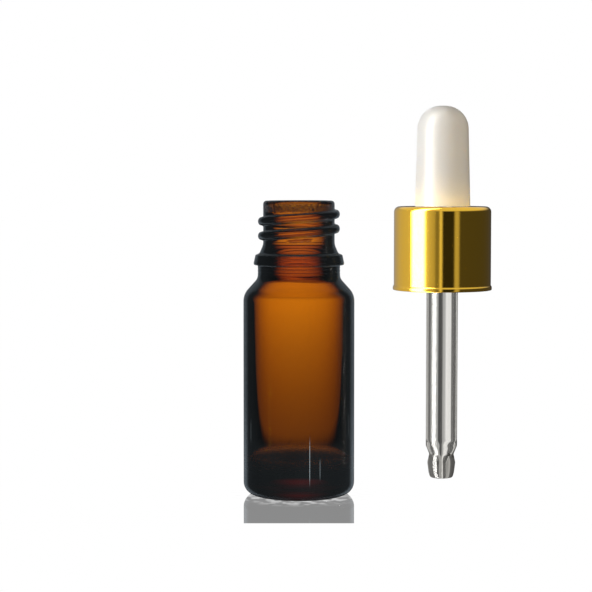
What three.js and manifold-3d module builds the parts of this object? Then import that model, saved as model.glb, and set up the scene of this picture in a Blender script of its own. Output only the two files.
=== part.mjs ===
// An amber glass ink bottle, open, with its dropper cap held upright beside it.
// Millimetres, +Z up. The origin is the centre of the bottle's flat base.
// The dropper is built round its sealing plane, the height that lands on the bottle's lip.
import * as THREE from "three";
import { mergeVertices } from "three/addons/utils/BufferGeometryUtils.js";
import Module from "manifold-3d";

const wasm = await Module();
wasm.setup();

// Facets round every turned piece. One count for all keeps the close fits even.
const FACETS = 48;

// Bottle, outside
const BODY_RADIUS = 12.4;
const BOTTLE_HEIGHT = 65.8;
const HEEL_RADIUS = 2.8;
const SHOULDER_Z = 43.4;
const SHOULDER_CROWN = 4.0;
const SHOULDER_TILT = 42;
const NECK_RADIUS = 9.17;
const NECK_FILLET = 2.0;
const RING_BOTTOM_Z = 51.4;
const RING_RADIUS = 10.18;
const RING_TOP_RADIUS = 9.72;
const RING_HEIGHT = 2.2;
const RING_EDGE = 0.25;
const RING_UNDERSIDE_RISE = 0.15;
const RING_EDGE_HEIGHT = 0.6;
const FLARE_RADIUS = 8.8;
const FLARE_GAP = 0.5;
const FLARE_HEIGHT = 3.0;
const FINISH_RADIUS = 7.97;
const LIP_OUTER_ROUND = 0.8;
const LIP_INNER_ROUND = 0.3;

// Bottle, inside
const BORE_RADIUS = 6.4;
const WALL = 1.6;
const FLOOR_Z = 5.8;
const FLOOR_CORNER = 3.0;
const BORE_FILLET = 3.0;

// Screw thread, right-handed
const PITCH = 3.25;
const THREAD_CREST_RADIUS = 9.13;
const THREAD_HALF_WIDTH = 1.0;
const THREAD_Z_AT_ZERO = 59.55;
const THREAD_START_TURN = -0.62;
const THREAD_END_TURN = 1.13;
const THREAD_FADE_TURN = 0.09;
const THREAD_SUNK = 0.4;
const THREAD_STEPS_PER_TURN = 44;
// The ridge's cross-section, as shares of its half width and, for the flank, of its height
const THREAD_FOOT_WIDTH = 1.1;
const THREAD_FLANK_WIDTH = 0.72;
const THREAD_FLANK_HEIGHT = 0.6;
const THREAD_CREST_WIDTH = 0.3;

// Dropper placement: beside the bottle, upright
const DROPPER_X = 32;
const DROPPER_SEAL_Z = 61.9;

// Rubber bulb
const BULB_BASE_RADIUS = 6.15;
const BULB_TOP_RADIUS = 5.55;
const BULB_TOP_Z = 24.9;
const BULB_WALL = 1.2;
const FLANGE_RADIUS = 9.2;
const FLANGE_THICKNESS = 1.2;
const SOCKET_DEPTH = 9.0;
const SOCKET_LEAD = 1.0;

// Screw collar, the plastic cap inside the gold shell
const COLLAR_INNER_RADIUS = 9.45;
const COLLAR_OUTER_RADIUS = 10.35;
const COLLAR_BOTTOM_Z = -11.4;
const COLLAR_TOP_Z = 2.2;
const COLLAR_CORNER = 0.9;
const COLLAR_THREAD_HEIGHT = 1.05;
const COLLAR_THREAD_HALF_WIDTH = 0.5;
const COLLAR_THREAD_START_TURN = -0.4;
const COLLAR_THREAD_END_TURN = 1.0;
const COLLAR_HOLE_RADIUS = 6.35;

// Gold shell
const SHELL_RADIUS = 10.8;
const SHELL_THICKNESS = 0.35;
const SHELL_TOP_Z = 2.6;
const SHELL_BOTTOM_Z = -16.0;
const SHELL_CORNER = 1.2;
const SHELL_BEAD = 0.25;
const SHELL_BEAD_HEIGHT = 0.9;
const SHELL_BEAD_EASE = 0.1;

// Glass pipette
const PIPETTE_RADIUS = 3.5;
const PIPETTE_BORE = 2.6;
const PIPETTE_TOP_Z = 8.7;
const PIPETTE_TIP_Z = -58.2;
const PIPETTE_RIM_ROUND = 0.3;
const PIPETTE_ORIFICE = 0.7;
// The bore narrows to the orifice between these heights above the tip
const BORE_TAPER_BOTTOM = 3.2;
const BORE_TAPER_MIDDLE = 6.7;
const BORE_TAPER_TOP = 8.2;
const BORE_MIDDLE_RADIUS = 2.08;
// The tip's outside, as [radius, height above the tip]: rim, ball, waist, then the plain tube
const TIP_OUTLINE = [
  [2.3, 0],
  [2.75, 0.7],
  [2.85, 1.6],
  [3.08, 3.3],
  [2.8, 5.3],
  [3.2, 6.4],
  [PIPETTE_RADIUS, 7.4],
];
const TIP_STEPS = 12;

// Running gap between neighbouring pieces
const GAP = 0.05;

const point = (r, z) => new THREE.Vector2(r, z);

// Points on a circular arc, both ends included, angles in degrees from the +r direction.
function arc(centre, radius, from, to, steps) {
  return Array.from({ length: steps + 1 }, (_, i) => {
    const angle = THREE.MathUtils.degToRad(from + ((to - from) * i) / steps);
    return point(centre.x + radius * Math.cos(angle), centre.y + radius * Math.sin(angle));
  });
}

// The S-shaped shoulder between a wide wall and a narrow one: crown arc, slope, fillet arc.
function shoulder(wide, startZ, crown, narrow, fillet, steps) {
  const tilt = THREE.MathUtils.degToRad(SHOULDER_TILT);
  const crownEnd = point(wide - crown * (1 - Math.cos(tilt)), startZ + crown * Math.sin(tilt));
  const filletStart = narrow + fillet * (1 - Math.cos(tilt));
  const slopeRise = (crownEnd.x - filletStart) / Math.tan(tilt);
  const filletZ = crownEnd.y + slopeRise + fillet * Math.sin(tilt);
  return [
    ...arc(point(wide - crown, startZ), crown, 0, SHOULDER_TILT, steps),
    ...arc(point(narrow + fillet, filletZ), fillet, 180 + SHOULDER_TILT, 180, steps),
  ];
}

// A profile of radius and height turned round the +Z axis.
function turned(profile) {
  return new THREE.LatheGeometry(profile, FACETS).rotateX(Math.PI / 2);
}

function toSolid(geometry) {
  const bare = new THREE.BufferGeometry();
  bare.setAttribute("position", geometry.getAttribute("position"));
  bare.setIndex(geometry.getIndex());
  const merged = mergeVertices(bare, 1e-4);
  return new wasm.Manifold(
    new wasm.Mesh({
      numProp: 3,
      vertProperties: merged.getAttribute("position").array,
      triVerts: new Uint32Array(merged.getIndex().array),
    }),
  );
}

function toGeometry(solid) {
  const mesh = solid.getMesh();
  const geometry = new THREE.BufferGeometry();
  geometry.setAttribute("position", new THREE.BufferAttribute(mesh.vertProperties, mesh.numProp));
  geometry.setIndex(new THREE.BufferAttribute(mesh.triVerts, 1));
  geometry.computeVertexNormals();
  return geometry;
}

// A thread ridge: a rounded bar extruded straight, then wound round the axis.
// height is positive for a ridge that stands outward from wallRadius, negative for inward.
function threadRidge({ wallRadius, height, halfWidth, startTurn, endTurn, zAtZero }) {
  const side = Math.sign(height);
  const root = -side * THREAD_SUNK;
  const flank = height * THREAD_FLANK_HEIGHT;
  const outline = new THREE.Shape([
    point(root, -halfWidth * THREAD_FOOT_WIDTH),
    point(flank, -halfWidth * THREAD_FLANK_WIDTH),
    point(height, -halfWidth * THREAD_CREST_WIDTH),
    point(height, halfWidth * THREAD_CREST_WIDTH),
    point(flank, halfWidth * THREAD_FLANK_WIDTH),
    point(root, halfWidth * THREAD_FOOT_WIDTH),
  ]);
  const turns = endTurn - startTurn;
  const steps = Math.round(turns * THREAD_STEPS_PER_TURN);
  const bar = new THREE.ExtrudeGeometry(outline, { depth: turns, steps, bevelEnabled: false });
  const position = bar.getAttribute("position");
  for (let i = 0; i < position.count; i++) {
    const along = position.getZ(i);
    const turn = startTurn + along;
    const fade = THREE.MathUtils.smoothstep(Math.min(along, turns - along), 0, THREAD_FADE_TURN);
    const stands = position.getX(i) * side > 0;
    const offset = stands ? THREE.MathUtils.lerp(root / 2, position.getX(i), fade) : root;
    const radius = wallRadius + offset;
    const angle = turn * 2 * Math.PI;
    const z = zAtZero + turn * PITCH - position.getY(i);
    position.setXYZ(i, radius * Math.cos(angle), radius * Math.sin(angle), z);
  }
  return toSolid(bar);
}

function glassBottle() {
  const ringTopZ = RING_BOTTOM_Z + RING_HEIGHT;
  const flareZ = ringTopZ + FLARE_GAP;
  const flare = [75, 50, 25, 0].map((degrees) => {
    const angle = THREE.MathUtils.degToRad(degrees);
    const spread = FLARE_RADIUS - FINISH_RADIUS;
    return point(
      FLARE_RADIUS - spread * Math.cos(angle),
      flareZ + FLARE_HEIGHT * (1 - Math.sin(angle)),
    );
  });
  const outside = [
    point(0, 0),
    ...arc(point(BODY_RADIUS - HEEL_RADIUS, HEEL_RADIUS), HEEL_RADIUS, -90, 0, 5),
    ...shoulder(BODY_RADIUS, SHOULDER_Z, SHOULDER_CROWN, NECK_RADIUS, NECK_FILLET, 4),
    point(NECK_RADIUS, RING_BOTTOM_Z),
    point(RING_RADIUS - RING_EDGE, RING_BOTTOM_Z + RING_UNDERSIDE_RISE),
    point(RING_RADIUS, RING_BOTTOM_Z + RING_EDGE_HEIGHT),
    point(RING_TOP_RADIUS, ringTopZ),
    point(RING_TOP_RADIUS - RING_EDGE, ringTopZ + RING_EDGE),
    point(FLARE_RADIUS, flareZ),
    ...flare,
  ];
  const lipTop = BOTTLE_HEIGHT - LIP_OUTER_ROUND;
  const lipCentre = point(FINISH_RADIUS - LIP_OUTER_ROUND, lipTop);
  const lipInnerCentre = point(BORE_RADIUS + LIP_INNER_ROUND, BOTTLE_HEIGHT - LIP_INNER_ROUND);
  const lip = [
    ...arc(lipCentre, LIP_OUTER_ROUND, 0, 90, 4),
    ...arc(lipInnerCentre, LIP_INNER_ROUND, 90, 180, 3),
  ];
  const cavityRadius = BODY_RADIUS - WALL;
  const innerCrown = SHOULDER_CROWN - WALL;
  const floorCentre = point(cavityRadius - FLOOR_CORNER, FLOOR_Z + FLOOR_CORNER);
  const inside = [
    ...shoulder(cavityRadius, SHOULDER_Z, innerCrown, BORE_RADIUS, BORE_FILLET, 3).reverse(),
    ...arc(floorCentre, FLOOR_CORNER, 0, -90, 5),
    point(0, FLOOR_Z),
  ];
  const blank = toSolid(turned([...outside, ...lip, ...inside]));
  const thread = threadRidge({
    wallRadius: FINISH_RADIUS,
    height: THREAD_CREST_RADIUS - FINISH_RADIUS,
    halfWidth: THREAD_HALF_WIDTH,
    startTurn: THREAD_START_TURN,
    endTurn: THREAD_END_TURN,
    zAtZero: THREAD_Z_AT_ZERO,
  });
  return toGeometry(blank.add(thread));
}

function rubberBulb() {
  const domeZ = BULB_TOP_Z - BULB_TOP_RADIUS;
  const dome = point(0, domeZ);
  const socketRadius = PIPETTE_RADIUS + GAP;
  return turned([
    point(0, domeZ + BULB_TOP_RADIUS - BULB_WALL),
    ...arc(dome, BULB_TOP_RADIUS - BULB_WALL, 72, 0, 4),
    point(BULB_BASE_RADIUS - BULB_WALL, SOCKET_DEPTH + SOCKET_LEAD),
    point(socketRadius, SOCKET_DEPTH),
    point(socketRadius, 0),
    point(FLANGE_RADIUS, 0),
    point(FLANGE_RADIUS, FLANGE_THICKNESS),
    point(BULB_BASE_RADIUS, FLANGE_THICKNESS),
    point(BULB_BASE_RADIUS, SHELL_TOP_Z),
    ...arc(dome, BULB_TOP_RADIUS, 0, 90, 6),
  ]);
}

function screwCollar() {
  const ceiling = FLANGE_THICKNESS + GAP;
  const cornerCentre = point(COLLAR_OUTER_RADIUS - COLLAR_CORNER, COLLAR_TOP_Z - COLLAR_CORNER);
  const blank = turned([
    point(COLLAR_HOLE_RADIUS, ceiling),
    point(COLLAR_INNER_RADIUS, ceiling),
    point(COLLAR_INNER_RADIUS, COLLAR_BOTTOM_Z),
    point(COLLAR_OUTER_RADIUS, COLLAR_BOTTOM_Z),
    ...arc(cornerCentre, COLLAR_CORNER, 0, 90, 3),
    point(COLLAR_HOLE_RADIUS, COLLAR_TOP_Z),
    point(COLLAR_HOLE_RADIUS, ceiling),
  ]);
  // The collar's ridge runs half a pitch below the bottle's when the cap is closed.
  const thread = threadRidge({
    wallRadius: COLLAR_INNER_RADIUS,
    height: -COLLAR_THREAD_HEIGHT,
    halfWidth: COLLAR_THREAD_HALF_WIDTH,
    startTurn: COLLAR_THREAD_START_TURN,
    endTurn: COLLAR_THREAD_END_TURN,
    zAtZero: THREAD_Z_AT_ZERO - BOTTLE_HEIGHT - PITCH / 2,
  });
  return toGeometry(toSolid(blank).add(thread));
}

function goldShell() {
  const cornerZ = SHELL_TOP_Z - SHELL_CORNER;
  const cornerCentre = point(SHELL_RADIUS - SHELL_CORNER, cornerZ);
  const innerRadius = SHELL_RADIUS - SHELL_THICKNESS;
  const beadRadius = SHELL_RADIUS + SHELL_BEAD;
  return turned([
    point(innerRadius, SHELL_BOTTOM_Z),
    point(beadRadius - SHELL_BEAD_EASE, SHELL_BOTTOM_Z),
    point(beadRadius, SHELL_BOTTOM_Z + SHELL_BEAD_HEIGHT / 3),
    point(beadRadius - SHELL_BEAD_EASE, SHELL_BOTTOM_Z + (2 * SHELL_BEAD_HEIGHT) / 3),
    point(SHELL_RADIUS, SHELL_BOTTOM_Z + SHELL_BEAD_HEIGHT),
    ...arc(cornerCentre, SHELL_CORNER, 0, 90, 5),
    point(COLLAR_HOLE_RADIUS, SHELL_TOP_Z),
    point(COLLAR_HOLE_RADIUS, SHELL_TOP_Z - SHELL_THICKNESS),
    ...arc(cornerCentre, SHELL_CORNER - SHELL_THICKNESS, 90, 0, 4),
    point(innerRadius, SHELL_BOTTOM_Z),
  ]);
}

function glassPipette() {
  const tip = new THREE.SplineCurve(TIP_OUTLINE.map(([r, z]) => point(r, PIPETTE_TIP_Z + z)));
  const outside = tip.getPoints(TIP_STEPS);
  return turned([
    point(PIPETTE_ORIFICE, PIPETTE_TIP_Z),
    ...outside,
    point(PIPETTE_RADIUS, PIPETTE_TOP_Z - PIPETTE_RIM_ROUND),
    point(PIPETTE_RADIUS - PIPETTE_RIM_ROUND, PIPETTE_TOP_Z),
    point(PIPETTE_BORE + PIPETTE_RIM_ROUND, PIPETTE_TOP_Z),
    point(PIPETTE_BORE, PIPETTE_TOP_Z - PIPETTE_RIM_ROUND),
    point(PIPETTE_BORE, PIPETTE_TIP_Z + BORE_TAPER_TOP),
    point(BORE_MIDDLE_RADIUS, PIPETTE_TIP_Z + BORE_TAPER_MIDDLE),
    point(PIPETTE_ORIFICE, PIPETTE_TIP_Z + BORE_TAPER_BOTTOM),
    point(PIPETTE_ORIFICE, PIPETTE_TIP_Z),
  ]);
}

const amberGlass = new THREE.MeshStandardMaterial({
  color: 0x8a4608,
  roughness: 0.04,
  metalness: 0,
  transparent: true,
  opacity: 0.8,
});
const clearGlass = new THREE.MeshStandardMaterial({
  color: 0xe8e8e4,
  roughness: 0.02,
  metalness: 0,
  transparent: true,
  opacity: 0.4,
});
const whiteRubber = new THREE.MeshStandardMaterial({ color: 0xf2eee8, roughness: 0.35, metalness: 0 });
const whitePlastic = new THREE.MeshStandardMaterial({ color: 0xf4f3ee, roughness: 0.4, metalness: 0 });
const goldAluminium = new THREE.MeshStandardMaterial({ color: 0xd4a030, roughness: 0.18, metalness: 1 });

function part(name, geometry, material) {
  const mesh = new THREE.Mesh(geometry, material);
  mesh.name = name;
  return mesh;
}

const dropper = new THREE.Group();
dropper.position.set(DROPPER_X, 0, DROPPER_SEAL_Z);
dropper.add(part("rubber_bulb", rubberBulb(), whiteRubber));
dropper.add(part("screw_collar", screwCollar(), whitePlastic));
dropper.add(part("gold_shell", goldShell(), goldAluminium));
dropper.add(part("glass_pipette", glassPipette(), clearGlass));

const inkBottle = new THREE.Group();
inkBottle.add(part("glass_bottle", glassBottle(), amberGlass));
inkBottle.add(dropper);

export default inkBottle;
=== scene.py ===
"""Looks for an amber glass ink bottle and the dropper beside it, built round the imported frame.

Outlines are in millimetres. The bottle's heights start at its base, and the dropper's at its sealing
plane, the height that lands on the bottle's lip. Meshes are made in metres, in the frame's own axes.
"""
import math

import bpy
import numpy as np
from mathutils import Matrix, Vector


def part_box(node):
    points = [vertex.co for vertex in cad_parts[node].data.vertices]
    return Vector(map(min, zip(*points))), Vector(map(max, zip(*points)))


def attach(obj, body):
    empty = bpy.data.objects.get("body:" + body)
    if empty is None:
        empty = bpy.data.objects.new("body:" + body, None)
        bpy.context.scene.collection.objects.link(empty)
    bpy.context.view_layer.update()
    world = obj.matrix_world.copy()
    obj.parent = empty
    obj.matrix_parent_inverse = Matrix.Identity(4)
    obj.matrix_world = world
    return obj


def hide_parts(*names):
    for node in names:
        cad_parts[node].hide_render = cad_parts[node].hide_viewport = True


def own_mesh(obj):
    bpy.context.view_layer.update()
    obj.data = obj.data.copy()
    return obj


MM = 0.001
TURN = 2 * math.pi

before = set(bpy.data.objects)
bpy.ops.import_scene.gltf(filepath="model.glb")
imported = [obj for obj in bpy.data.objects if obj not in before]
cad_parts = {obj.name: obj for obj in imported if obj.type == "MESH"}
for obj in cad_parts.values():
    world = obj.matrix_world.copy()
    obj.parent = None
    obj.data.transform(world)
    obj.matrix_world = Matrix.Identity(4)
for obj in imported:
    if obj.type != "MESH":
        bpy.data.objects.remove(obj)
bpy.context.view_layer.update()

# ---------------------------------------------------------------- driving dimensions

# From the frame
bottle_low, bottle_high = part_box("glass_bottle")
shell_low, shell_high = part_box("gold_shell")
pipette_low, pipette_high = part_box("glass_pipette")
bulb_low, bulb_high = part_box("rubber_bulb")
collar_low, collar_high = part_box("screw_collar")

BODY_RADIUS = bottle_high.x / MM
BOTTLE_HEIGHT = bottle_high.z / MM
DROPPER_X = (bulb_low.x + bulb_high.x) / 2 / MM
SEAL_Z = bulb_low.z / MM
BULB_TOP = (bulb_high.z - bulb_low.z) / MM
SHELL_TOP = (shell_high.z - bulb_low.z) / MM
SHELL_BOTTOM = (shell_low.z - bulb_low.z) / MM
COLLAR_TOP = (collar_high.z - bulb_low.z) / MM
COLLAR_BOTTOM = (collar_low.z - bulb_low.z) / MM
PIPETTE_TOP = (pipette_high.z - bulb_low.z) / MM
PIPETTE_TIP = (pipette_low.z - bulb_low.z) / MM

# Bottle, outside
HEEL = 2.8
HEEL_TOP_Z = HEEL + 2
SHOULDER_Z = 44.94
SHOULDER_ROUND = 4.0
NECK_RADIUS = 9.17
NECK_Z = 48.52
NECK_ROUND = 2.0
RING_Z = 51.4
RING_TOP_Z = 53.6
RING_RADIUS = 10.18
RING_TOP_RADIUS = 9.72
RING_SLANT = 0.1
RING_CORNER_ROUND = 0.2
RING_EDGE_ROUND = 0.35
FLARE_RADIUS = 8.8
FLARE_Z = 54.1
FLARE_HEIGHT = 1.9
FLARE_CORNER_ROUND = 0.7
FLARE_ROUND = 3.2
FINISH_RADIUS = 7.97
FINISH_Z = FLARE_Z + 4
LIP_OUTER_ROUND = 0.8
LIP_INNER_ROUND = 0.3
PUNT_RADIUS = 8.6
PUNT_DEPTH = 0.7
PUNT_FLAT_SHARE = 0.75
PUNT_ROUND = 5.0
STANDING_RADIUS = PUNT_RADIUS + 0.4
STANDING_ROUND = 0.8

# Fine ripples that the mould leaves round the neck, just under the ring
RIPPLE_Z = 49.3
RIPPLE_HEIGHT = 0.03
RIPPLE_SPACING = 0.72

# Bottle, inside
BORE_RADIUS = 6.4
BORE_TOP_Z = BOTTLE_HEIGHT - 4
BORE_Z = 49.21
BORE_ROUND = 3.0
CAVITY_RADIUS = 10.8
CAVITY_SHOULDER_Z = 44.32
CAVITY_SHOULDER_ROUND = 2.4
FLOOR_Z = 5.8
FLOOR_ROUND = 3.0

# Screw thread, right-handed. Turn 0 is at +X, and nothing of the thread is below THREAD_LOWEST_Z.
PITCH = 3.25
THREAD_LOWEST_Z = FLARE_Z + 1
THREAD_HEIGHT = 1.16
THREAD_HALF_WIDTH = 1.12
THREAD_Z = 59.55
THREAD_TURNS = (-0.62, 1.13)
THREAD_FADE = 0.06
# The mould mark on the front under the thread, a short low ridge
FOOT_HEIGHT = 0.35
FOOT_HALF_WIDTH = 0.3
FOOT_Z = 57.8
FOOT_TURNS = (-0.305, -0.185)
FOOT_FADE = 0.03

# Dropper
COLLAR_INNER = 9.45
COLLAR_OUTER = 10.35
COLLAR_HOLE = 6.35
COLLAR_ROOF = 1.25
COLLAR_THREAD_HEIGHT = 1.0
COLLAR_THREAD_HALF_WIDTH = 0.65
COLLAR_THREAD_Z = -7.875
COLLAR_THREAD_TURNS = (-0.4, 1.0)
SHELL_RADIUS = 10.8
SHELL_THICKNESS = 0.35
SHELL_ROUND = 1.2
SHELL_BEAD = 0.22
SHELL_BEAD_HEIGHT = 0.9
BULB_BASE_RADIUS = 6.15
BULB_TOP_RADIUS = 5.55
BULB_WALL = 1.2
FLANGE_RADIUS = 9.2
FLANGE_THICKNESS = 1.2
FLANGE_ROUND = 0.2
SOCKET_RADIUS = 3.55

# The bulb's skin is thin up to SKIN_THIN_Z and at its full thickness from SKIN_THICK_Z
SKIN_BOTTOM = 2.35
SKIN_WALL = 0.3
SKIN_THIN_Z = 13.0
SKIN_THICK_Z = SKIN_THIN_Z + 2

# The bulb's stiff root, which ends ROOT_ABOVE_PIPETTE above the pipette's top
ROOT_RADIUS = 5.7
ROOT_ABOVE_PIPETTE = 2.3
# The share of the root's wall that is left beside the pipette's top, towards the pressed sides
ROOT_THIN = 0.13
# The share by which the root narrows, how far above the pipette's top that starts, and the height
# that it takes
ROOT_CLOSING = 0.38
ROOT_CLOSING_START = 0.2
ROOT_CLOSING_HEIGHT = 2.1

# Pipette, with its ball tip as radius and height above the end
PIPETTE_RADIUS = 3.5
PIPETTE_RIM_ROUND = 0.3
PIPETTE_BORE = 2.6
PIPETTE_BORE_END = 8.2
PIPETTE_ORIFICE = 0.7
PIPETTE_ORIFICE_TOP = 3.2
TIP_END_RADIUS = 2.5
TIP_SIDE = (2.85, 1.2)
BALL = (3.12, 3.4)
BALL_NECK = (2.72, 5.3)
TUBE_START = 7.2

# How far apart the points of an outline may be
FINE_STEP = 0.14
MEDIUM_STEP = 0.35
COARSE_STEP = 0.5
PIPETTE_STEP = 0.4
SHELL_STEP = 0.3
COLLAR_STEP = 0.16

# How many points go round each piece
BOTTLE_SIDES = 200
COLLAR_SIDES = 160
BULB_SIDES = 128
TUBE_SIDES = 96

# Two radii closer than this count as equal
HAIR = 0.01

# ---------------------------------------------------------------- mesh tools


def rounded(corners, step):
    """An outline through corners (radius, height, rounding), with arcs at the rounded ones.

    Points are at most step apart. A corner whose rounding is 0 stays sharp.
    """
    points = []
    for i, (r, z, rounding) in enumerate(corners):
        here = Vector((r, z))
        if rounding == 0 or i in (0, len(corners) - 1):
            points.append(here)
            continue
        back = (Vector(corners[i - 1][:2]) - here).normalized()
        ahead = (Vector(corners[i + 1][:2]) - here).normalized()
        half = back.angle(ahead) / 2
        centre = here + (back + ahead).normalized() * rounding / math.sin(half)
        reach = rounding / math.tan(half)
        first = here + back * reach - centre
        sweep = first.angle_signed(here + ahead * reach - centre)
        count = max(3, math.ceil(abs(sweep) * rounding / step))
        for k in range(count + 1):
            turned = first.copy()
            turned.rotate(Matrix.Rotation(-sweep * k / count, 2))
            points.append(centre + turned)
    return subdivided(points, step)


def subdivided(points, step):
    """The same outline with no two neighbours further apart than step."""
    out = [points[0]]
    for a, b in zip(points, points[1:]):
        length = (b - a).length
        if length < 1e-6:
            continue
        count = max(1, math.ceil(length / step))
        out += [a.lerp(b, (k + 1) / count) for k in range(count)]
    return np.array([(p.x, p.y) for p in out])


def polar(angle, r, z):
    """The place of a point from its angle round the axis, its radius and its height."""
    return r * np.cos(angle), r * np.sin(angle), z


def turned(name, outline, around, shape=polar, at=(0.0, 0.0)):
    """A closed mesh from an outline of (radius, height), turned round +Z at the place at (x, z).

    The outline runs anticlockwise, with material on its left, and either starts and ends on the axis
    or closes on itself. shape(angle, r, z) gives each point's place, in millimetres.
    """
    on_axis = outline[0][0] < 1e-9
    rows = outline[1:-1] if on_axis else outline
    angle = np.linspace(0, TURN, around, endpoint=False)[None, :]
    x, y, z = np.broadcast_arrays(*shape(angle, rows[:, :1], rows[:, 1:] + 0 * angle))
    points = np.stack([x, y, z], axis=-1).reshape(-1, 3)
    if on_axis:
        points = np.vstack([points, (0, 0, outline[0][1]), (0, 0, outline[-1][1])])
    points = (points + (at[0], 0, at[1])) * MM
    count = len(rows)
    faces = []
    for i in range(count - 1 if on_axis else count):
        low = i * around
        high = (i + 1) % count * around
        for k in range(around):
            after = (k + 1) % around
            faces.append((low + k, low + after, high + after, high + k))
    if on_axis:
        first = count * around
        last = (count - 1) * around
        for k in range(around):
            after = (k + 1) % around
            faces.append((first, after, k))
            faces.append((first + 1, last + k, last + after))
    mesh = bpy.data.meshes.new(name)
    mesh.from_pydata(points.tolist(), [], faces)
    mesh.shade_smooth()
    piece = bpy.data.objects.new(name, mesh)
    bpy.context.scene.collection.objects.link(piece)
    return piece


def smooth(t):
    """Eases from 0 to 1 while t goes from 0 to 1, and holds beyond."""
    t = np.clip(t, 0, 1)
    return t * t * (3 - 2 * t)


def ridge(angle, z, height, half_width, z_at_zero, turns, fade):
    """How far a helical thread ridge stands out at each angle and height."""
    stands = np.zeros(np.broadcast(angle, z).shape)
    for lap in range(-1, 2):
        turn = angle / TURN + lap
        from_end = np.minimum(turn - turns[0], turns[1] - turn)
        off = np.abs(z - z_at_zero - turn * PITCH) / half_width
        flank = np.sqrt(np.clip(1 - off * off, 0, 1)) * smooth((1 - off) / 0.3)
        stands = np.maximum(stands, height * flank * smooth(from_end / fade))
    return stands


# ---------------------------------------------------------------- the bottle


def bottle_outline():
    """The bottle's outside from the centre of its base to its lip, then the inside down to its floor."""
    base = rounded([
        (0, PUNT_DEPTH, 0),
        (PUNT_RADIUS * PUNT_FLAT_SHARE, PUNT_DEPTH, PUNT_ROUND),
        (STANDING_RADIUS, 0, STANDING_ROUND),
        (BODY_RADIUS, 0, HEEL),
        (BODY_RADIUS, HEEL_TOP_Z, 0),
    ], MEDIUM_STEP)
    body = rounded([
        (BODY_RADIUS, HEEL_TOP_Z, 0),
        (BODY_RADIUS, SHOULDER_Z, SHOULDER_ROUND),
        (NECK_RADIUS, NECK_Z, NECK_ROUND),
        (NECK_RADIUS, RIPPLE_Z, 0),
    ], COARSE_STEP)
    neck = rounded([
        (NECK_RADIUS, RIPPLE_Z, 0),
        (NECK_RADIUS, RING_Z, RING_CORNER_ROUND),
        (RING_RADIUS, RING_Z + RING_SLANT, RING_EDGE_ROUND),
        (RING_TOP_RADIUS, RING_TOP_Z + RING_SLANT, RING_EDGE_ROUND),
        (FLARE_RADIUS, FLARE_Z, FLARE_CORNER_ROUND),
        (FINISH_RADIUS, FLARE_Z + FLARE_HEIGHT, FLARE_ROUND),
        (FINISH_RADIUS, FINISH_Z, 0),
    ], FINE_STEP)
    finish = rounded([
        (FINISH_RADIUS, FINISH_Z, 0),
        (FINISH_RADIUS, BOTTLE_HEIGHT, LIP_OUTER_ROUND),
        (BORE_RADIUS, BOTTLE_HEIGHT, LIP_INNER_ROUND),
        (BORE_RADIUS, BORE_TOP_Z, 0),
    ], FINE_STEP)
    inside = rounded([
        (BORE_RADIUS, BORE_TOP_Z, 0),
        (BORE_RADIUS, BORE_Z, BORE_ROUND),
        (CAVITY_RADIUS, CAVITY_SHOULDER_Z, CAVITY_SHOULDER_ROUND),
        (CAVITY_RADIUS, FLOOR_Z, FLOOR_ROUND),
        (0, FLOOR_Z, 0),
    ], COARSE_STEP)
    return np.vstack([base, body[1:], neck[1:], finish[1:], inside[1:]])


SEAM_ANGLE = math.radians(-79)
SEAM_HEIGHT = 0.05
SEAM_HALF_WIDTH = 0.16
SEAM_BOTTOM_Z = 2.5
SEAM_FADE = 1.5


def seam(angle, r, z):
    """The two mould seams, fine ridges on opposite sides that fade out above the heel."""
    across = np.minimum(np.abs(np.sin((angle - SEAM_ANGLE) / 2)),
                        np.abs(np.cos((angle - SEAM_ANGLE) / 2))) * 2 * r
    uneven = 0.65 + 0.35 * np.sin(z * 1.7) * np.sin(z * 0.63 + 1)
    narrow = np.clip(1 - across / SEAM_HALF_WIDTH, 0, 1)
    return SEAM_HEIGHT * uneven * narrow * smooth((z - SEAM_BOTTOM_Z) / SEAM_FADE)


# The moulding waves inside: how deep they are, and where they start and stop
FLOW_DEPTH = 0.13
FLOW_BOTTOM_Z = FLOOR_Z + 1
FLOW_RISE = 6.0
FLOW_TOP_Z = 50.0
FLOW_FADE = 4.0
FLOW_RADIUS = 8.0


def glass_flow(angle, z):
    """The soft waves that moulding leaves in the wall, in units of FLOW_DEPTH."""
    return (np.sin(2 * angle + 0.11 * z + 0.8) * 0.5
            + np.sin(3 * angle - 0.17 * z + 2.1) * 0.35
            + np.sin(5 * angle + 0.23 * z + 0.3) * 0.22
            + np.sin(0.42 * z + 2 * angle) * 0.3)


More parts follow.
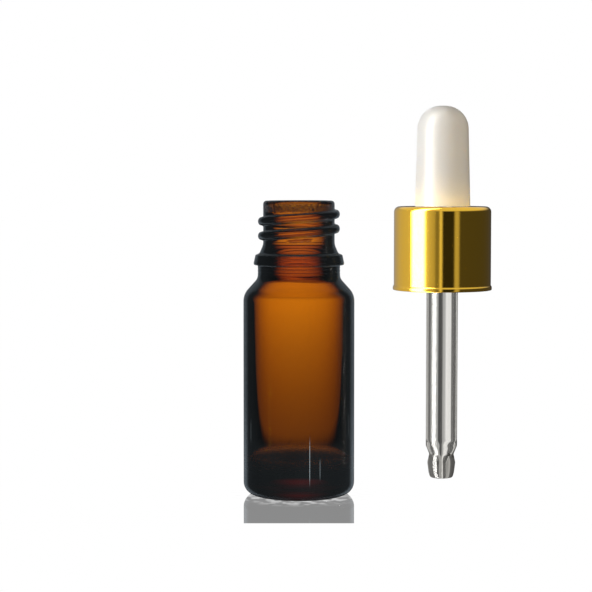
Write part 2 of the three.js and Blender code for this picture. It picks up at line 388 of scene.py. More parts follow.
def bottle_shape(angle, r, z):
    """Adds thread, seams, ripples and moulding waves to the turned outline."""
    outside = r > FINISH_RADIUS - HAIR
    thread = ridge(angle, z, THREAD_HEIGHT, THREAD_HALF_WIDTH, THREAD_Z, THREAD_TURNS, THREAD_FADE)
    foot = ridge(angle, z, FOOT_HEIGHT, FOOT_HALF_WIDTH, FOOT_Z, FOOT_TURNS, FOOT_FADE)
    out = np.where(outside & (z > THREAD_LOWEST_Z), np.maximum(thread, foot), 0)
    seamed = outside & (r > RING_TOP_RADIUS) & (z > SEAM_BOTTOM_Z)
    out = out + np.where(seamed, seam(angle, r, z), 0)
    rippled = outside & (z > RIPPLE_Z) & (z < RING_Z - RING_CORNER_ROUND)
    out = out + np.where(rippled, RIPPLE_HEIGHT * np.sin((z - RIPPLE_Z) / RIPPLE_SPACING * TURN), 0)
    inner = (r < CAVITY_RADIUS + HAIR) & (z > FLOOR_Z + 0.1) & ~outside
    share = smooth((z - FLOW_BOTTOM_Z) / FLOW_RISE) * smooth((FLOW_TOP_Z - z) / FLOW_FADE)
    share = share * smooth(r / FLOW_RADIUS)
    out = out + np.where(inner, FLOW_DEPTH * glass_flow(angle, z) * share, 0)
    return polar(angle, r + out, z)


# ---------------------------------------------------------------- the dropper


def pipette_outline():
    """A tube from its rim, down the outside to the ball tip, and back up the bore."""
    tip = PIPETTE_TIP
    return rounded([
        (PIPETTE_BORE, PIPETTE_TOP - 1, 0),
        (PIPETTE_BORE, tip + PIPETTE_BORE_END, 2.0),
        (PIPETTE_ORIFICE, tip + PIPETTE_ORIFICE_TOP, 2.0),
        (PIPETTE_ORIFICE, tip, 0.3),
        (TIP_END_RADIUS, tip, 0.5),
        (TIP_SIDE[0], tip + TIP_SIDE[1], 0.6),
        (BALL[0], tip + BALL[1], 1.6),
        (BALL_NECK[0], tip + BALL_NECK[1], 0.8),
        (PIPETTE_RADIUS, tip + TUBE_START, 1.6),
        (PIPETTE_RADIUS, PIPETTE_TOP, PIPETTE_RIM_ROUND),
        (PIPETTE_BORE, PIPETTE_TOP, PIPETTE_RIM_ROUND),
        (PIPETTE_BORE, PIPETTE_TOP - 1.05, 0),
    ], PIPETTE_STEP)


def shell_outline():
    """The thin gold shell: bead at the bottom, straight side, rounded top edge, hole for the bulb."""
    inner = SHELL_RADIUS - SHELL_THICKNESS
    bead = SHELL_RADIUS + SHELL_BEAD
    return rounded([
        (inner, SHELL_BOTTOM + 1, 0),
        (inner, SHELL_BOTTOM, 0.12),
        (bead, SHELL_BOTTOM, 0.2),
        (bead, SHELL_BOTTOM + SHELL_BEAD_HEIGHT, 0.4),
        (SHELL_RADIUS, SHELL_BOTTOM + SHELL_BEAD_HEIGHT + 0.1, 0.15),
        (SHELL_RADIUS, SHELL_TOP, SHELL_ROUND),
        (COLLAR_HOLE, SHELL_TOP, 0.14),
        (COLLAR_HOLE, SHELL_TOP - SHELL_THICKNESS, 0.1),
        (inner, SHELL_TOP - SHELL_THICKNESS, SHELL_ROUND - SHELL_THICKNESS),
        (inner, SHELL_BOTTOM + 1.05, 0),
    ], SHELL_STEP)


def collar_outline():
    """The plastic cap inside the shell."""
    return rounded([
        (COLLAR_INNER, COLLAR_BOTTOM + 0.9, 0),
        (COLLAR_INNER, COLLAR_BOTTOM, 0.2),
        (COLLAR_OUTER, COLLAR_BOTTOM, 0.2),
        (COLLAR_OUTER, COLLAR_TOP, 0.9),
        (COLLAR_HOLE, COLLAR_TOP, 0.15),
        (COLLAR_HOLE, COLLAR_ROOF, 0.15),
        (COLLAR_INNER, COLLAR_ROOF, 0.2),
        (COLLAR_INNER, COLLAR_BOTTOM + 0.95, 0),
    ], COLLAR_STEP)


def collar_shape(angle, r, z):
    """Adds the thread inside the collar, as a ridge that stands inwards."""
    inside = (r < COLLAR_INNER + HAIR) & (z < COLLAR_ROOF - 0.3)
    thread = ridge(angle, z, COLLAR_THREAD_HEIGHT, COLLAR_THREAD_HALF_WIDTH, COLLAR_THREAD_Z,
                   COLLAR_THREAD_TURNS, THREAD_FADE)
    return polar(angle, r - np.where(inside, thread, 0), z)


def bulb_skin_outline():
    """The bulb's outer skin, a long dome that thickens above the pipette's socket."""
    thin = BULB_BASE_RADIUS - SKIN_WALL
    thick = BULB_TOP_RADIUS - BULB_WALL
    return rounded([
        (0, BULB_TOP - BULB_WALL, 0),
        (thick, BULB_TOP - BULB_WALL, thick * 0.9),
        (thick + 0.1, SKIN_THICK_Z, 0.8),
        (thin - 0.2, SKIN_THIN_Z, 0.8),
        (thin, SKIN_BOTTOM, 0.05),
        (BULB_BASE_RADIUS, SKIN_BOTTOM, 0.1),
        (BULB_TOP_RADIUS, BULB_TOP, BULB_TOP_RADIUS * 0.93),
        (0, BULB_TOP, 0),
    ], MEDIUM_STEP)


def bulb_root_outline():
    """The stiff root: flange under the collar's roof, and the socket that grips the pipette."""
    top = PIPETTE_TOP + ROOT_ABOVE_PIPETTE
    return rounded([
        (SOCKET_RADIUS, 1, 0),
        (SOCKET_RADIUS, 0, 0.1),
        (FLANGE_RADIUS, 0, FLANGE_ROUND),
        (FLANGE_RADIUS, FLANGE_THICKNESS, FLANGE_ROUND),
        (ROOT_RADIUS, FLANGE_THICKNESS, FLANGE_ROUND),
        (ROOT_RADIUS, top, 0.5),
        (SOCKET_RADIUS, top, 0.5),
        (SOCKET_RADIUS, 1.05, 0),
    ], MEDIUM_STEP)


def root_shape(angle, r, z):
    """Narrows the root across X: its wall thins towards the pipette's top, and above that it closes in.

    Pressed, the skin is narrower than the pipette, so up to the pipette's top the root shows outside
    it, and above the top the root is hidden inside it.
    """
    taper = smooth((z - SKIN_BOTTOM) / (PIPETTE_TOP - SKIN_BOTTOM))
    half_width = SOCKET_RADIUS + (r - SOCKET_RADIUS) * (1 - (1 - ROOT_THIN) * taper)
    closing = smooth((z - PIPETTE_TOP - ROOT_CLOSING_START) / ROOT_CLOSING_HEIGHT)
    x = half_width * (1 - ROOT_CLOSING * closing) * np.cos(angle)
    return x, r * np.sin(angle), z


# ---------------------------------------------------------------- pieces

bottle = turned("amber_bottle", bottle_outline(), BOTTLE_SIDES, bottle_shape)
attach(bottle, "bottle")
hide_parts("glass_bottle")

dropper_at = (DROPPER_X, SEAL_Z)
pipette = turned("pipette_tube", pipette_outline(), TUBE_SIDES, at=dropper_at)
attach(pipette, "dropper")
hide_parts("glass_pipette")

collar = turned("threaded_collar", collar_outline(), COLLAR_SIDES, collar_shape, at=dropper_at)
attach(collar, "collar")
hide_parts("screw_collar")

shell = turned("collar_shell", shell_outline(), COLLAR_SIDES, at=dropper_at)
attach(shell, "collar")
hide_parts("gold_shell")

root = turned("bulb_root", bulb_root_outline(), TUBE_SIDES, root_shape, at=dropper_at)
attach(root, "dropper")

skin = turned("bulb_skin", bulb_skin_outline(), BULB_SIDES, at=dropper_at)
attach(skin, "dropper")
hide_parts("rubber_bulb")
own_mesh(skin)

# ---------------------------------------------------------------- shader tools


class Shader:
    """Short calls for building a node tree."""

    def __init__(self, owner):
        owner.use_nodes = True
        self.tree = owner.node_tree
        self.tree.nodes.clear()

    def add(self, kind, inputs=None, **settings):
        """A node of that kind. inputs maps a socket's name or number to a value or another socket."""
        made = self.tree.nodes.new("ShaderNode" + kind)
        for key, value in settings.items():
            setattr(made, key, value)
        for key, value in (inputs or {}).items():
            if isinstance(value, bpy.types.NodeSocket):
                self.tree.links.new(value, made.inputs[key])
            else:
                made.inputs[key].default_value = value
        return made

    def math(self, operation, *values, clamp=False):
        inputs = dict(enumerate(values))
        return self.add("Math", inputs, operation=operation, use_clamp=clamp).outputs[0]

    def times(self, *values):
        """The product of two or more values."""
        product = values[0]
        for value in values[1:]:
            product = self.math("MULTIPLY", product, value)
        return product

    def rest(self, share):
        """What is left of 1 after a share."""
        return self.math("SUBTRACT", 1.0, share)

    def degrees(self, radians):
        return self.math("DEGREES", radians)

    def mix(self, share, first, second):
        """A colour between two colours."""
        return self.add("Mix", {0: share, 6: first, 7: second}, data_type="RGBA").outputs[2]

    def scaled(self, vector, factor):
        return self.add("VectorMath", {0: vector, "Scale": factor}, operation="SCALE").outputs[0]

    def along(self, axis, vector):
        """One component of a vector: 0, 1 or 2 for x, y or z."""
        return self.add("SeparateXYZ", {0: vector}).outputs[axis]

    def from_axis(self, place):
        """How far a place is from the bottle's axis."""
        flat = self.add("VectorMath", {0: place, 1: (1, 1, 0)}, operation="MULTIPLY").outputs[0]
        return self.add("VectorMath", {0: flat}, operation="LENGTH").outputs["Value"]

    def remap(self, value, low, high, to_low=0.0, to_high=1.0, kind="SMOOTHSTEP"):
        """Takes low to to_low and high to to_high, and holds the value beyond them."""
        inputs = {"Value": value, "From Min": low, "From Max": high, "To Min": to_low, "To Max": to_high}
        return self.add("MapRange", inputs, interpolation_type=kind).outputs[0]

    def noise(self, scale, detail=3.0, where=None):
        inputs = {"Scale": scale, "Detail": detail}
        if where is not None:
            inputs["Vector"] = where
        return self.add("TexNoise", inputs).outputs[0]

    def object_place(self, stretch):
        """Object coordinates stretched along each axis."""
        place = self.add("TexCoord").outputs["Object"]
        return self.add("Mapping", {"Vector": place, "Scale": stretch}).outputs[0]

    def finish(self, surface, volume=None):
        end = self.add("OutputMaterial", {"Surface": surface})
        if volume is not None:
            self.tree.links.new(volume, end.inputs["Volume"])


def material(name):
    made = bpy.data.materials.new(name)
    return made, Shader(made)


# ---------------------------------------------------------------- materials


# The share of light that the glass's skin scatters instead of passing: a faint haze lit by the haze
# lamp, which towards the edges is a painted reflection
HAZE_AND_EDGE_REFLECTION = 0.006
# Where the body faces the camera the haze is cut away, from between the first two heights, and less so
# from between the next two; what is left towards the edges is a painted reflection
FACING_CUT_START = (10.5 * MM, 14.0 * MM)
FACING_CUT_LESS = (45.0 * MM, 53.0 * MM)
# Painted highlights on the front, thin pale upright lines: x, half width, lowest z, highest z, in
# millimetres, and how pale
PAINTED_HIGHLIGHTS = (
    (2.35, 0.09, 3.0, 15.0, 0.45),
    (4.6, 0.16, 4.5, 10.0, 0.13),
    (-10.6, 0.12, 12.0, 18.0, 0.10),
    (11.0, 0.10, 13.0, 19.0, 0.12),
)
# Torn glass under the lip: the heights where it starts and is full, and where it fades and ends
SHEAR_START = (63.0 * MM, 63.6 * MM)
SHEAR_END = (64.7 * MM, 65.1 * MM)
# The stippled underside ends between these heights
STIPPLE_END = (0.8 * MM, 1.1 * MM)
# The uneven floor inside is above UNDERSIDE, and ends between the next two heights
UNDERSIDE = 1.2 * MM
UNEVEN_END = (8.2 * MM, 10.2 * MM)


def painted_highlights(s):
    """Thin upright painted highlights low on the front of the bottle, where the glass is made pale."""
    parts = s.add("SeparateXYZ", {0: s.add("TexCoord").outputs["Object"]}).outputs
    front = s.math("LESS_THAN", parts[1], 0.0)
    patchy = s.remap(s.noise(420.0, 3.0), 0.3, 0.65, 0.35, 1.0)
    total = 0.0
    for x, half_width, low, high, highlight_level in PAINTED_HIGHLIGHTS:
        off = s.math("ABSOLUTE", s.math("SUBTRACT", parts[0], x * MM))
        across = s.remap(off, 0.0, half_width * MM, highlight_level, 0.0)
        middle = (low + high) / 2 * MM
        reach = s.math("ABSOLUTE", s.math("SUBTRACT", parts[2], middle))
        along = s.remap(reach, 0.2 * (high - low) * MM, 0.5 * (high - low) * MM, 1.0, 0.0)
        total = s.math("ADD", total, s.times(across, along))
    return s.times(total, patchy, front)


def glass_relief(s, height):
    """The skin's bump: orange peel and drag lines all over, and torn glass just under the lip."""
    orange_peel = s.noise(260.0, 2.0, s.object_place((1, 1, 0.35)))
    drag = s.noise(900.0, 3.0, s.object_place((1, 1, 0.04)))
    relief = s.math("ADD", orange_peel, s.times(drag, 0.25))
    bump = s.add("Bump", {"Height": relief, "Strength": 0.12, "Distance": 0.00005}).outputs[0]
    shear = s.noise(1500.0, 2.0, s.object_place((1, 1, 1.3)))
    under_lip = s.times(s.remap(height, *SHEAR_START), s.remap(height, *SHEAR_END, 1.0, 0.0))
    return s.add("Bump", {"Height": shear, "Strength": under_lip, "Distance": 0.0006,
                          "Normal": bump}).outputs[0]


def haze_and_edge_reflection(s, height, smudge):
    """The share of light that the skin scatters: a faint haze, cut away where the body faces the viewer,
    so that towards the edges it is a painted reflection.
    """
    facing = s.add("LayerWeight", {"Blend": 0.5}).outputs["Facing"]
    facing_cut = s.times(s.remap(height, *FACING_CUT_START), s.remap(facing, 0.2, 0.5, 0.96, 0.0),
                    s.remap(height, *FACING_CUT_LESS, 1.0, 0.3))
    haze = s.remap(smudge, 0.3, 0.7, 0.8 * HAZE_AND_EDGE_REFLECTION, 1.2 * HAZE_AND_EDGE_REFLECTION)
    return s.times(haze, s.rest(facing_cut))


def glass_roughness(s, place, height, smudge):
    """Polished and faintly smudged, with a stippled underside and an uneven floor inside."""
    stipple = s.remap(height, *STIPPLE_END, 0.5, 0.0)
    within = s.math("LESS_THAN", s.from_axis(place), (CAVITY_RADIUS + BODY_RADIUS) / 2 * MM)
    uneven_floor = s.times(within, s.remap(height, *UNEVEN_END, 0.42, 0.0),
                           s.math("GREATER_THAN", height, UNDERSIDE))
    smudged = s.remap(smudge, 0.35, 0.75, 0.0, 0.045)
    return s.math("ADD", s.math("ADD", stipple, uneven_floor), smudged)


def amber_glass():
    """Iron-amber moulded glass: the colour is in its depth, and the skin has faint moulding marks."""
    made, s = material("amber_glass")
    place = s.add("TexCoord").outputs["Object"]
    height = s.along(2, place)
    smudge = s.noise(120.0, 4.0, s.object_place((1, 1, 0.5)))
    # The painted highlights, and the haze with its painted edge reflection, take their share from the
    # light that passes
    clear = s.math("SUBTRACT", s.rest(haze_and_edge_reflection(s, height, smudge)), painted_highlights(s), clamp=True)
    glass = s.add("BsdfPrincipled", {
        "Base Color": (1, 1, 1, 1),
        "Roughness": glass_roughness(s, place, height, smudge),
        "IOR": 1.52,
        "Transmission Weight": clear,
        "Normal": glass_relief(s, height),
    })
    depth = s.add("VolumeAbsorption", {"Color": (0.918, 0.765, 0.0, 1), "Density": 1620.0})
    s.finish(glass.outputs[0], depth.outputs[0])
    return made


def clear_glass():
    """Drawn clear tube, with faint draw lines along it."""
    made, s = material("clear_glass")
    lines = s.noise(1500.0, 2.0, s.object_place((1, 1, 0.01)))
    bump = s.add("Bump", {"Height": lines, "Strength": 0.1, "Distance": 0.00003}).outputs[0]
    smudge = s.noise(300.0, 3.0, s.object_place((1, 1, 0.3)))
    glass = s.add("BsdfPrincipled", {
        "Base Color": (1, 1, 1, 1),
        "Roughness": s.remap(smudge, 0.4, 0.8, 0.0, 0.04),
        "IOR": 1.5,
        "Transmission Weight": 1.0,
        "Normal": bump,
    })
    depth = s.add("VolumeAbsorption", {"Color": (0.55, 0.5, 0.4, 1), "Density": 60.0})
    s.finish(glass.outputs[0], depth.outputs[0])
    return made


def white_rubber():
    """Glossy off-white rubber with a fine moulded skin."""
    made, s = material("white_rubber")
    skin_grain = s.noise(1800.0, 4.0)
    handling = s.noise(160.0, 3.0)
    bump = s.add("Bump", {"Height": skin_grain, "Strength": 0.08, "Distance": 0.00004}).outputs[0]
    tint = s.mix(s.remap(handling, 0.3, 0.7), (0.90, 0.875, 0.835, 1), (0.93, 0.915, 0.885, 1))
    rubber = s.add("BsdfPrincipled", {
        "Base Color": tint,
        "Roughness": s.remap(handling, 0.3, 0.7, 0.32, 0.42),
        "Subsurface Weight": 0.15,
        "Subsurface Radius": (1.0, 0.8, 0.6),
        "Subsurface Scale": 0.0015,
        "IOR": 1.45,
        "Normal": bump,
    })
    s.finish(rubber.outputs[0])
    return made


def white_plastic():
    """Satin moulded plastic with fine turning lines."""
    made, s = material("white_plastic")
    lines = s.noise(1200.0, 2.0, s.object_place((0.05, 0.05, 1)))
    speckle = s.noise(2400.0, 3.0)
    bump = s.add("Bump", {"Height": lines, "Strength": 0.12, "Distance": 0.00004}).outputs[0]
    plastic = s.add("BsdfPrincipled", {
        "Base Color": (0.88, 0.87, 0.84, 1),
        "Roughness": s.remap(speckle, 0.3, 0.7, 0.34, 0.48),
        "IOR": 1.49,
        "Normal": bump,
    })
    s.finish(plastic.outputs[0])
    return made


def gold_aluminium():
    """Bright gold-anodised aluminium, with spinning lines round it and uneven dye."""
    made, s = material("gold_aluminium")
    spin = s.noise(2600.0, 3.0, s.object_place((0.04, 0.04, 1)))
    grain = s.noise(3500.0, 2.0)
    relief = s.math("ADD", s.times(spin, 0.5), s.times(grain, 0.5))
    bump = s.add("Bump", {"Height": relief, "Strength": 0.12, "Distance": 0.00002}).outputs[0]
    dye = s.noise(190.0, 3.0)
    tint = s.mix(s.remap(dye, 0.3, 0.7), (0.80, 0.46, 0.035, 1), (0.86, 0.54, 0.06, 1))
    metal = s.add("BsdfPrincipled", {
        "Base Color": tint,
        "Metallic": 1.0,
        "Roughness": s.remap(grain, 0.3, 0.7, 0.045, 0.09),
        "Coat Weight": 0.2,
        "Coat Roughness": 0.06,
        "Normal": bump,
    })
    s.finish(metal.outputs[0])
    return made


# The bottle and the dropper don't mirror each other. For the bottle this also keeps light from
# bouncing about inside its wall, so that the thick glass stays dark.
for piece in (bottle, collar, shell, root, skin):
    piece.visible_glossy = False

for piece in (collar, shell, root, skin):
    piece.visible_transmission = False

rubber = white_rubber()
for piece, look in ((bottle, amber_glass()), (pipette, clear_glass()), (collar, white_plastic()),
                    (shell, gold_aluminium()), (root, rubber), (skin, rubber)):
    piece.data.materials.append(look)

# ---------------------------------------------------------------- camera

CAMERA_DISTANCE = 0.400
VIEW_WIDTH = 0.1320
VIEW_CENTRE = Vector((-0.65, 0, 44.5)) * MM
EYE_HEIGHT = bottle_high.z + 4 * MM
SENSOR = 36.0

lens = bpy.data.cameras.new("camera")
lens.sensor_width = SENSOR
lens.lens = SENSOR * CAMERA_DISTANCE / VIEW_WIDTH
lens.clip_start = 0.01
lens.clip_end = 10.0
camera = bpy.data.objects.new("camera", lens)
camera.location = (VIEW_CENTRE.x, -CAMERA_DISTANCE, EYE_HEIGHT)
camera.rotation_euler = (VIEW_CENTRE - camera.location).to_track_quat("-Z", "Y").to_euler()
bpy.context.scene.collection.objects.link(camera)
bpy.context.scene.camera = camera

# ---------------------------------------------------------------- stage and light

# The studio is two large round light domes. Each is seen by only the pieces linked to it, and its
# pattern is fixed to the camera, as when an object is turned on a table in front of fixed lamps.
# A ray passes through the dome that it isn't linked to, so the two may not coincide.
DOME_RADII = {"bottle_dome": 3.0, "dropper_dome": 3.4}


def ray_in_camera(s):
    """The direction of the ray that meets a dome: right, up and away, as the camera sees it."""
    incoming = s.add("NewGeometry").outputs["Incoming"]
    turned_in = s.add("VectorTransform", {0: incoming}, vector_type="VECTOR",
                      convert_from="WORLD", convert_to="CAMERA").outputs[0]
    parts = s.add("SeparateXYZ", {0: turned_in}).outputs
    return [s.times(part, -1.0) for part in parts]


def dome(name, light, receivers):
    """A light dome. light(shader) gives its brightness and colour, and receivers are what it lights."""
    bpy.ops.mesh.primitive_ico_sphere_add(subdivisions=3, radius=DOME_RADII[name], location=(0, 0, 0))
    made = bpy.context.object
    made.name = name
    look, s = material(name)
    colour, strength = light(s)
    glow = s.add("Emission", {"Color": colour, "Strength": strength}).outputs[0]
    clear = s.add("BsdfTransparent").outputs[0]
    s.finish(s.add("AddShader", {0: clear, 1: glow}).outputs[0])
    look.cycles.emission_sampling = "NONE"
    made.data.materials.append(look)
    made.visible_camera = False
    made.visible_diffuse = False
    made.visible_shadow = False
    linked = bpy.data.collections.new(name + "_lights")
    for piece in receivers:
        linked.objects.link(piece)
    made.light_linking.receiver_collection = linked
    return made


# The glow behind the bottle. Angles are in degrees as the camera sees them, right and up positive.
GLOW_MIDDLE = -0.8
GLOW_WIDTH = 13.0
# It is brightest between these heights, and fades over these distances below and above them
GLOW_BRIGHT = (-0.3, 2.0)
GLOW_FADE = (2.9, 15.0)
# Its lower edge: the height straight ahead, the rise to the sides with the angle's square and fourth
# power, and the heights from there at which the edge starts and ends
EDGE_HEIGHT = -4.85
EDGE_CURVE = (0.0034, 3.2e-5)
EDGE_SOFTNESS = (-0.25, 0.45)
# Dimmer light above and below: the heights between which each comes in, and its brightness. The light
# below ends between the two heights of BELOW_END.
ABOVE = (8.0, 14.0)
ABOVE_LEVEL = 0.40
BELOW = (-7.6, -6.5)
BELOW_LEVEL = 0.85
BELOW_END = (-30.0, -14.0)
# The table cuts off light from below that would cross it nearer than this to the bottle's axis
TABLE_SHADE = (60.0 * MM, 66.0 * MM)
# Colours of the glow where it is dim, where it is bright and where the bottle mirrors it
GLOW_DIM = (0.95, 0.47, 0.3, 1)
GLOW_LIT = (0.95, 0.56, 0.3, 1)
GLOW_MIRRORED = (0.5, 0.53, 0.56, 1)
GLOW_STRENGTH = 1.02
# The room that the bottle mirrors: its levels for rays that go less and more steeply down than this
ROOM_COLOUR = (0.82, 0.97, 1.1)
ROOM_SLOPE = (0.11, 0.16)
ROOM_LEVELS = (0.10, 0.16)
# Its pale strip on each side: the angles between which it comes in and goes, and the factors on the
# room's level before it and in it. Beyond it, that factor is multiplied by STRIP_AFTER.
STRIP_START = (10.0, 25.0)
STRIP_END = (36.0, 52.0)
STRIP_FACTORS = (0.1, 2.4)
STRIP_AFTER = 0.25


def past_the_table(s):
    """1 where the ray crosses the table's height outside the shaded disc round the bottle, else 0."""
    geometry = s.add("NewGeometry").outputs
    height = s.along(2, geometry["Position"])
    slope = s.along(2, geometry["Incoming"])
    back = s.times(s.math("DIVIDE", height, slope), -1.0)
    step = s.scaled(geometry["Incoming"], back)
    crossing = s.add("VectorMath", {0: geometry["Position"], 1: step}).outputs[0]
    return s.remap(s.from_axis(crossing), *TABLE_SHADE)


def softbox_level(s, azimuth, elevation):
    """The main light behind the bottle: it fades downwards and upwards, over a curved lower edge."""
    under = s.math("DIVIDE", s.math("SUBTRACT", elevation, GLOW_BRIGHT[0]), GLOW_FADE[0])
    over = s.math("DIVIDE", s.math("SUBTRACT", elevation, GLOW_BRIGHT[1]), GLOW_FADE[1])
    fall = s.math("MINIMUM", under, 0.0)
    rise = s.math("MAXIMUM", over, 0.0)
    fade = s.math("EXPONENT", s.math("SUBTRACT", fall, s.times(rise, rise)))
    squared = s.times(azimuth, azimuth)
    curve = s.math("ADD", s.times(squared, EDGE_CURVE[1]), EDGE_CURVE[0])
    edge_at = s.math("ADD", s.times(squared, curve), EDGE_HEIGHT)
    edge = s.remap(s.math("SUBTRACT", elevation, edge_at), *EDGE_SOFTNESS)
    return s.times(fade, edge)


def glow_level(s, azimuth, elevation, refracted):
    """How bright it is behind the bottle: the softbox, with dimmer light above and below it."""
    spread = s.math("DIVIDE", s.math("SUBTRACT", azimuth, GLOW_MIDDLE), GLOW_WIDTH)
    across = s.math("EXPONENT", s.times(spread, spread, -1.0))
    above = s.remap(elevation, *ABOVE, 0.0, ABOVE_LEVEL)
    below = s.times(s.remap(elevation, *BELOW, BELOW_LEVEL, 0.0), refracted,
                    s.remap(elevation, *BELOW_END), past_the_table(s))
    softbox = softbox_level(s, azimuth, elevation)
    return s.times(across, s.math("MAXIMUM", softbox, s.math("MAXIMUM", above, below)))


def room_level(s, azimuth):
    """The dim room that the bottle mirrors: a pale strip on each side, and paler towards the table."""
    downwards = s.along(2, s.add("NewGeometry").outputs["Incoming"])
    level = s.remap(downwards, *ROOM_SLOPE, *ROOM_LEVELS)
    off = s.math("ABSOLUTE", azimuth)
    return s.times(level, s.remap(off, *STRIP_START, *STRIP_FACTORS),
                   s.remap(off, *STRIP_END, 1.0, STRIP_AFTER))


def bottle_light(s):
    """The glow behind the bottle, and the room that only the bottle's outside mirrors.

    Cycles counts a refracted ray as glossy too, so a mirrored ray is one that is glossy and not
    refracted. One that is mirrored inside the glass is trapped, and sees nothing.
    """
    right, up, away = ray_in_camera(s)
    azimuth = s.degrees(s.math("ARCTAN2", right, away))
    elevation = s.degrees(s.math("ARCSINE", up))
    path = s.add("LightPath").outputs
    refracted = path["Is Transmission Ray"]
    mirrored = s.math("SUBTRACT", path["Is Glossy Ray"], refracted, clamp=True)
    outside = s.math("LESS_THAN", path["Transmission Depth"], 0.5)
    trapped = s.times(mirrored, s.rest(outside))
    glow = s.times(glow_level(s, azimuth, elevation, refracted), s.rest(trapped))
    colour = s.mix(s.remap(glow, 0.0, 0.9), GLOW_DIM, GLOW_LIT)
    colour = s.mix(mirrored, colour, GLOW_MIRRORED)
    lit = s.scaled(colour, s.times(glow, GLOW_STRENGTH))
    room = s.scaled(ROOM_COLOUR, s.times(room_level(s, azimuth), mirrored, outside))
    return s.add("VectorMath", {0: lit, 1: room}).outputs[0], 1.0


# What the gold shell mirrors: (degrees round from the camera, to the right positive, brightness).
GOLD_BANDS = (
    (-180, 0.28), (-125, 0.66), (-86, 0.80), (-77, 18.0), (-51, 18.0), (-44, 1.2), (-37, 0.75),
    (-24, 0.55), (-19, 0.26), (-13, 0.26), (-10, 0.95), (-7, 0.95), (-3, 0.035), (22, 0.035),
    (26, 0.58), (33, 0.58), (38, 0.085), (140, 0.075), (180, 0.04),
)
# What is seen through the pipette: (degrees right of straight ahead, brightness).
PIPETTE_BANDS = (
    (-40, 0.10), (-27, 0.14), (-23, 0.50), (-11, 0.30), (-8.5, 0.42), (0.8, 0.46), (1.4, 0.06),
    (4.7, 0.06), (5.3, 0.42), (7.6, 0.50), (9.0, 0.92), (19.0, 0.92), (22, 0.24), (26, 0.17),
    (40, 0.12),
)
# How far up a ray must go to see the softbox overhead, and how bright that is
OVERHEAD = (0.2, 0.6)
OVERHEAD_LEVEL = 0.9
DROPPER_COLOUR = (1.0, 0.985, 0.95, 1)


def bands(s, angle, stops):
    """A brightness that follows the stops as the angle goes from the first stop's to the last's."""
    first = stops[0][0]
    last = stops[-1][0]
    brightest = max(level for _, level in stops)
    ramp = s.add("ValToRGB", {0: s.remap(angle, first, last, kind="LINEAR")})
    elements = ramp.color_ramp.elements
    for at, level in stops:
        if at == first:
            element = elements[0]
        elif at == last:
            element = elements[len(elements) - 1]
        else:
            element = elements.new((at - first) / (last - first))
        grey = level / brightest
        element.color = (grey, grey, grey, 1)
    return s.times(ramp.outputs[0], brightest)


def dropper_light(s):
    """Upright light strips round the dropper, with a softbox overhead."""
    right, up, away = ray_in_camera(s)
    ahead = s.degrees(s.math("ARCTAN2", right, away))
    behind = s.degrees(s.math("ARCTAN2", right, s.times(away, -1.0)))
    overhead = s.remap(up, *OVERHEAD, 0.0, OVERHEAD_LEVEL)
    mirrored = s.math("MAXIMUM", bands(s, behind, GOLD_BANDS), overhead)
    seen = bands(s, ahead, PIPETTE_BANDS)
    through = s.add("LightPath").outputs["Is Transmission Ray"]
    strength = s.add("Mix", {0: through, 2: mirrored, 3: seen}).outputs[0]
    return DROPPER_COLOUR, strength


# How much of the mirror image shows in the table, how far in front of the middle of the view it ends,
# and how wide its edge is
SHEEN = 0.75
SHEEN_REACH = 32.0 * MM
SHEEN_EDGE = 0.4 * MM
# White glints at the bottle's foot, which fade out between these distances from its axis
FOOT_GLINT = (10.0 * MM, 18.0 * MM)


def white_floor():
    """A pale table: white, with a sheen in front of the bottle that shows its mirror image."""
    made, s = material("white_floor")
    place = s.add("NewGeometry").outputs["Position"]
    seen = s.add("VectorTransform", {0: place}, vector_type="POINT",
                 convert_from="WORLD", convert_to="CAMERA").outputs[0]
    end = CAMERA_DISTANCE - SHEEN_REACH
    sheen = s.remap(s.along(2, seen), end, end + SHEEN_EDGE, 0.0, SHEEN)
    near = s.remap(s.from_axis(place), *FOOT_GLINT, 1.0, 0.0)
    glint = s.times(near, s.remap(s.noise(420.0, 2.0, place), 0.42, 0.62, 0.0, 0.5))
    sheen = s.times(sheen, s.rest(glint))
    white = s.add("Emission", {"Color": (1, 1, 1, 1), "Strength": 1.0}).outputs[0]
    clear = s.add("BsdfTransparent").outputs[0]
    s.finish(s.add("MixShader", {0: sheen, 1: white, 2: clear}).outputs[0])
    made.cycles.emission_sampling = "NONE"
    return made


FLOOR_SIZE = 6.0
bpy.ops.mesh.primitive_plane_add(size=FLOOR_SIZE, location=(0, 0, 0))
floor = bpy.context.object
floor.name = "floor"
floor.data.materials.append(white_floor())
floor.visible_glossy = False
floor.visible_transmission = False
floor.visible_diffuse = False
floor.visible_shadow = False

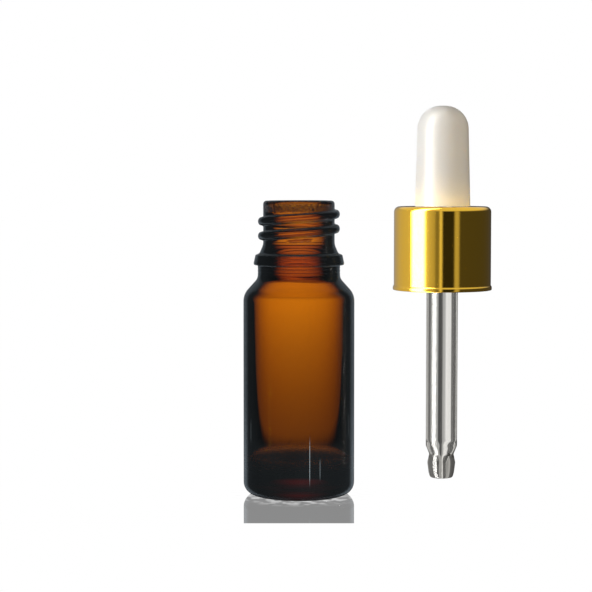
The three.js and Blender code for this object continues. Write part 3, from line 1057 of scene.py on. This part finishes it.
# The table's mirror image of the bottle is the same mesh turned over below the floor. The sheen lets
# it show through.
mirror_image = bpy.data.objects.new("mirror_image", bottle.data)
mirror_image.scale.z = -1
mirror_image.visible_glossy = False
mirror_image.visible_diffuse = False
mirror_image.visible_shadow = False
bpy.context.scene.collection.objects.link(mirror_image)

dropper_pieces = [pipette, collar, shell, root, skin]
dome("bottle_dome", bottle_light, [bottle, mirror_image])
dome("dropper_dome", dropper_light, dropper_pieces)


def lamp(name, place, size, watts, colour, receivers):
    """A square soft lamp fixed to the camera, aimed at the middle of the view.

    place is its distance right of, above and beyond the camera, in metres.
    """
    data = bpy.data.lights.new(name, "AREA")
    data.size = size
    data.energy = watts
    data.color = colour
    made = bpy.data.objects.new(name, data)
    bpy.context.scene.collection.objects.link(made)
    made.parent = camera
    right, up, away = place
    target = Vector((0, 0, -CAMERA_DISTANCE))
    made.location = (right, up, -away)
    made.rotation_euler = (target - made.location).to_track_quat("-Z", "Y").to_euler()
    made.visible_camera = False
    made.visible_glossy = False
    made.visible_transmission = False
    linked = bpy.data.collections.new(name + "_lights")
    for piece in receivers:
        linked.objects.link(piece)
    made.light_linking.receiver_collection = linked


lamp("key_lamp", place=(-0.47, 0.12, 0.22), size=0.3, watts=2.7, colour=(1, 1, 1),
     receivers=dropper_pieces)
lamp("fill_lamp", place=(0.28, 0.05, 0.0), size=0.4, watts=1.35, colour=(1.0, 0.90, 0.75),
     receivers=dropper_pieces)
lamp("haze_lamp", place=(0.0, 0.05, -0.10), size=0.6, watts=6.0, colour=(0.80, 0.94, 1.0),
     receivers=[bottle, mirror_image])

world = bpy.data.worlds.new("studio")
bpy.context.scene.world = world
sky = Shader(world)
seen_directly = sky.add("LightPath").outputs["Is Camera Ray"]
background = sky.add("Background", {"Color": (1, 1, 1, 1), "Strength": seen_directly})
sky.add("OutputWorld", {"Surface": background.outputs[0]})

scene = bpy.context.scene
scene.view_settings.view_transform = "Standard"
scene.cycles.max_bounces = 32
scene.cycles.transmission_bounces = 28
scene.cycles.glossy_bounces = 12
scene.cycles.transparent_max_bounces = 32
scene.cycles.use_denoising = True
